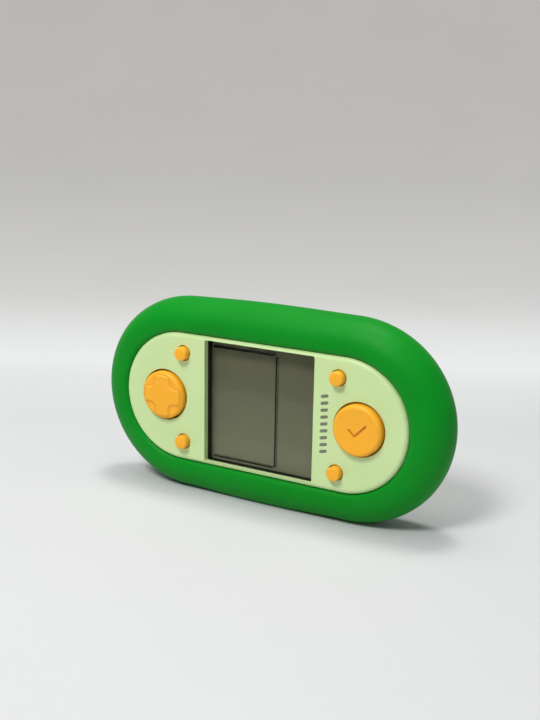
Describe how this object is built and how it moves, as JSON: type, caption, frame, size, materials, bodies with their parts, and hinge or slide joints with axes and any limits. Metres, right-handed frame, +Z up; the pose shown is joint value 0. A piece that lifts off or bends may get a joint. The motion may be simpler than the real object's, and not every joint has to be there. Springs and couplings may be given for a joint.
{
  "type": "handheld game console",
  "caption": "Handheld game console with a soft ring round a flat body, a display window, a four-way disc, a round button, small buttons and a rear battery bay.",
  "frame": {"origin": "centre of the bounding box at floor level, under the middle of the body", "axes": "+X along the body to the viewer's right, +Y from the faceplate to the back, +Z up"},
  "size_m": [0.1564, 0.025, 0.082],
  "materials": {
    "ring_silicone": "matte moulded silicone",
    "shell_abs": "fine moulded texture",
    "button_plastic": "satin moulded",
    "bezel_abs": "black moulded",
    "lens_acrylic": "clear polished sheet",
    "display_glass": "polariser on glass",
    "reflector_film": "grey film",
    "keypad_rubber": "moulded rubber",
    "conductive_rubber": "carbon filled rubber",
    "board_laminate": "solder mask on glass epoxy",
    "black_epoxy": "cured resin",
    "nickel_steel": "nickel plated",
    "sleeve_plastic": "shrink sleeve",
    "white_acetal": "natural moulded",
    "sounder_brass": "rolled",
    "piezo_ceramic": "silvered ceramic",
    "cell_jacket": "printed can",
    "lead_red": "extruded insulation",
    "lead_black": "extruded insulation"
  },
  "bodies": {
    "console": {"battery_lead_negative": "lead_black", "battery_lead_positive": "lead_red", "battery_lower": "cell_jacket", "battery_upper": "cell_jacket", "board_screws": "nickel_steel", "bridge_plate": "nickel_steel", "bridge_spring": "nickel_steel", "capacitor": "sleeve_plastic", "case_screws": "nickel_steel", "chip_resistors": "black_epoxy", "controller_blob": "black_epoxy", "crystal_can": "nickel_steel", "dpad_pills": "conductive_rubber", "dpad_post": "white_acetal", "front_shell": "shell_abs", "lcd_bezel": "bezel_abs", "lcd_glass": "display_glass", "lcd_reflector": "reflector_film", "left_keypad": "keypad_rubber", "main_board": "board_laminate", "negative_plate": "nickel_steel", "negative_spring": "nickel_steel", "positive_plate": "nickel_steel", "rear_shell": "shell_abs", "right_keypad": "keypad_rubber", "silicone_ring": "ring_silicone", "sounder_ceramic": "piezo_ceramic", "sounder_disc": "sounder_brass", "sounder_lead_inner": "lead_red", "sounder_lead_outer": "lead_black", "window_lens": "lens_acrylic", "zebra_strip": "conductive_rubber"},
    "dpad_ball": {"dpad_ball": "nickel_steel"},
    "dpad_cap": {"dpad_cap": "button_plastic"},
    "action_button": {"action_button": "button_plastic", "action_pill": "conductive_rubber"},
    "upper_left_button": {"upper_left_button": "button_plastic", "upper_left_pill": "conductive_rubber"},
    "lower_left_button": {"lower_left_button": "button_plastic", "lower_left_pill": "conductive_rubber"},
    "upper_right_button": {"upper_right_button": "button_plastic", "upper_right_pill": "conductive_rubber"},
    "lower_right_button": {"lower_right_button": "button_plastic", "lower_right_pill": "conductive_rubber"},
    "battery_door": {"battery_door": "shell_abs"},
    "door_screw": {"door_screw": "nickel_steel"}
  },
  "joints": [
    {"name": "dpad_tilt_up_down", "type": "hinge", "parent": "console", "child": "dpad_ball", "pos_m": [-0.04425, -0.0059, 0.04075], "axis": [1, 0, 0], "range_deg": [-4, 4], "stiffness_Nm_per_rad": 0.12, "deforming": ["left_keypad"]},
    {"name": "dpad_tilt_left_right", "type": "hinge", "parent": "dpad_ball", "child": "dpad_cap", "pos_m": [-0.04425, -0.0059, 0.04075], "axis": [0, 0, 1], "range_deg": [-4, 4], "stiffness_Nm_per_rad": 0.12, "deforming": ["left_keypad"]},
    {"name": "action_button_press", "type": "slide", "parent": "console", "child": "action_button", "axis": [0, 1, 0], "range_m": [0, 0.001], "stiffness_N_per_m": 1200, "springref_m": -0.0002, "deforming": ["right_keypad"]},
    {"name": "upper_left_button_press", "type": "slide", "parent": "console", "child": "upper_left_button", "axis": [0, 1, 0], "range_m": [0, 0.0008], "stiffness_N_per_m": 1000, "springref_m": -0.0002, "deforming": ["left_keypad"]},
    {"name": "lower_left_button_press", "type": "slide", "parent": "console", "child": "lower_left_button", "axis": [0, 1, 0], "range_m": [0, 0.0008], "stiffness_N_per_m": 1000, "springref_m": -0.0002, "deforming": ["left_keypad"]},
    {"name": "upper_right_button_press", "type": "slide", "parent": "console", "child": "upper_right_button", "axis": [0, 1, 0], "range_m": [0, 0.0008], "stiffness_N_per_m": 1000, "springref_m": -0.0002, "deforming": ["right_keypad"]},
    {"name": "lower_right_button_press", "type": "slide", "parent": "console", "child": "lower_right_button", "axis": [0, 1, 0], "range_m": [0, 0.0008], "stiffness_N_per_m": 1000, "springref_m": -0.0002, "deforming": ["right_keypad"]},
    {"name": "battery_door_swing", "type": "hinge", "parent": "console", "child": "battery_door", "pos_m": [-0.0305, 0.0125, 0.04075], "axis": [0, 0, 1], "range_deg": [0, 50]},
    {"name": "door_screw_turn", "type": "hinge", "parent": "battery_door", "child": "door_screw", "pos_m": [0.0272, 0.0125, 0.04075], "axis": [0, 1, 0], "continuous": true}
  ]
}
